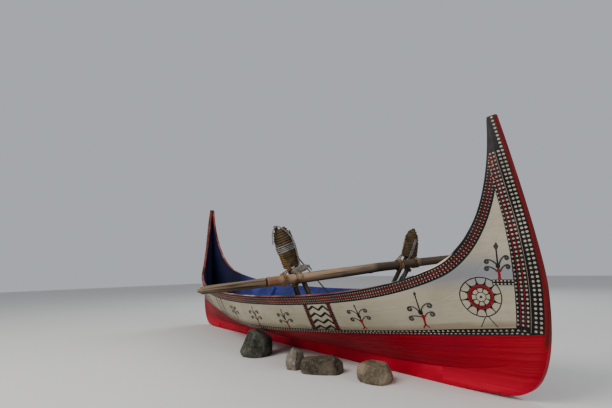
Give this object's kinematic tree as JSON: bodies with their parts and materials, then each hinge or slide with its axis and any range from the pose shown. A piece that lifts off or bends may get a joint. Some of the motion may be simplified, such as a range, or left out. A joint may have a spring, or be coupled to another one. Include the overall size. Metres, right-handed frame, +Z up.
{
  "type": "rowing boat",
  "caption": "Small plank-built rowing boat with tall upswept ends, a lashed crossbar with two rope-wound oar crutches, and the beach stones that chock it.",
  "frame": {"origin": "on the ground under the middle of the keel, at the centre of the bounding box's base", "axes": "+X along the keel to the end with the crossbar (the bow here), +Y to port, +Z up"},
  "size_m": [3.1784, 1.6274, 1.0834],
  "materials": {
    "red_paint": "oil paint over planed and adzed planks, satin",
    "white_paint": "weathered off-white oil paint over carved planks",
    "stem_paint": "brick-red oil paint, worn",
    "blue_paint": "blue oil paint, worn",
    "bare_wood": "weathered bare pole",
    "dark_wood": "dark weathered pole",
    "rope": "dry plant-fibre rope in tight turns",
    "pale_rope": "pale twisted cord",
    "stone": "weathered beach rock"
  },
  "bodies": {
    "root": {"garboard_starboard_stern": "red_paint", "garboard_starboard_waist": "red_paint", "garboard_starboard_bow": "red_paint", "garboard_port_stern": "red_paint", "garboard_port_waist": "red_paint", "garboard_port_bow": "red_paint", "middle_strake_starboard_stern": "white_paint", "middle_strake_starboard_waist": "white_paint", "middle_strake_starboard_bow": "white_paint", "middle_strake_port_stern": "white_paint", "middle_strake_port_waist": "white_paint", "middle_strake_port_bow": "white_paint", "sheer_strake_starboard_stern": "white_paint", "sheer_strake_starboard_waist": "white_paint", "sheer_strake_starboard_bow": "white_paint", "sheer_strake_port_stern": "white_paint", "sheer_strake_port_waist": "white_paint", "sheer_strake_port_bow": "white_paint", "keel": "red_paint", "stem_bow": "stem_paint", "stem_stern": "stem_paint", "frame_bow": "blue_paint", "frame_waist": "blue_paint", "frame_stern": "blue_paint", "seat": "blue_paint", "foot_brace": "dark_wood", "crossbar": "bare_wood", "crutch_starboard_outer_leg": "dark_wood", "crutch_starboard_inner_leg": "dark_wood", "winding_starboard": "rope", "lashing_starboard": "pale_rope", "stay_starboard": "pale_rope", "wad_starboard": "pale_rope", "crutch_port_outer_leg": "dark_wood", "crutch_port_inner_leg": "dark_wood", "winding_port": "rope", "lashing_port": "pale_rope", "stay_port": "pale_rope", "chock_stone": "stone", "beach_stone_1": "stone", "beach_stone_2": "stone", "beach_stone_3": "stone"}
  },
  "joints": []
}
